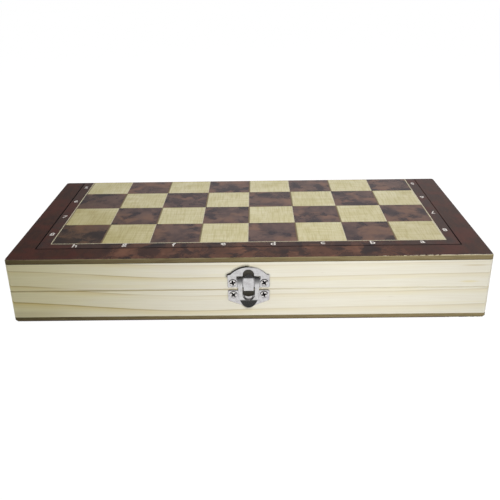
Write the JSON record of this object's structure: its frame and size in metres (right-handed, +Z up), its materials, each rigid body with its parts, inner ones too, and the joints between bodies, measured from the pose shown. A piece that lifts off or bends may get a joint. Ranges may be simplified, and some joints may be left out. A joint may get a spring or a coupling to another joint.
{
  "type": "folding chess and backgammon board",
  "caption": "Folding wooden game board: two hinged pine trays with printed chess and backgammon faces, shut by a swing hasp.",
  "frame": {"origin": "centre of the underside of the closed box, on the surface that it rests on", "axes": "+X to the right along the fold, +Y from the hasp at the front to the hinges at the back, +Z up"},
  "size_m": [0.34, 0.1779, 0.0496],
  "materials": {
    "pine": "clear satin varnish on pale straight-grained pine",
    "fibreboard": "bare olive-brown board edge",
    "chess_print": "glossy walnut and maple burl print",
    "backgammon_print": "glossy walnut print with points",
    "nickel_plate": "bright nickel plating on pressed steel",
    "screw_steel": "nickel-plated cross-recess screws",
    "hinge_steel": "nickel plating on rolled steel sheet"
  },
  "bodies": {
    "base": {"base_panel": "fibreboard", "base_chess_print": "chess_print", "base_backgammon_print": "backgammon_print", "base_front_rail": "pine", "base_back_rail": "pine", "base_left_rail": "pine", "base_right_rail": "pine", "left_hinge_base_leaf": "hinge_steel", "right_hinge_base_leaf": "hinge_steel", "left_hinge_pin": "hinge_steel", "right_hinge_pin": "hinge_steel", "base_hinge_screws": "screw_steel", "latch_catch": "nickel_plate", "catch_screws": "screw_steel"},
    "lid": {"lid_panel": "fibreboard", "lid_chess_print": "chess_print", "lid_backgammon_print": "backgammon_print", "lid_front_rail": "pine", "lid_back_rail": "pine", "lid_left_rail": "pine", "lid_right_rail": "pine", "left_hinge_lid_leaf": "hinge_steel", "right_hinge_lid_leaf": "hinge_steel", "lid_hinge_screws": "screw_steel", "latch_plate": "nickel_plate", "latch_screws": "screw_steel"},
    "latch_arm": {"latch_arm": "nickel_plate"}
  },
  "joints": [
    {"name": "lid_hinge", "type": "hinge", "parent": "base", "child": "lid", "pos_m": [0, 0.085, 0.0248], "axis": [-1, 0, 0], "range_deg": [0, 180]},
    {"name": "arm_swing", "type": "hinge", "parent": "lid", "child": "latch_arm", "pos_m": [0, -0.086, 0.0341], "axis": [-1, 0, 0], "range_deg": [0, 130]}
  ]
}
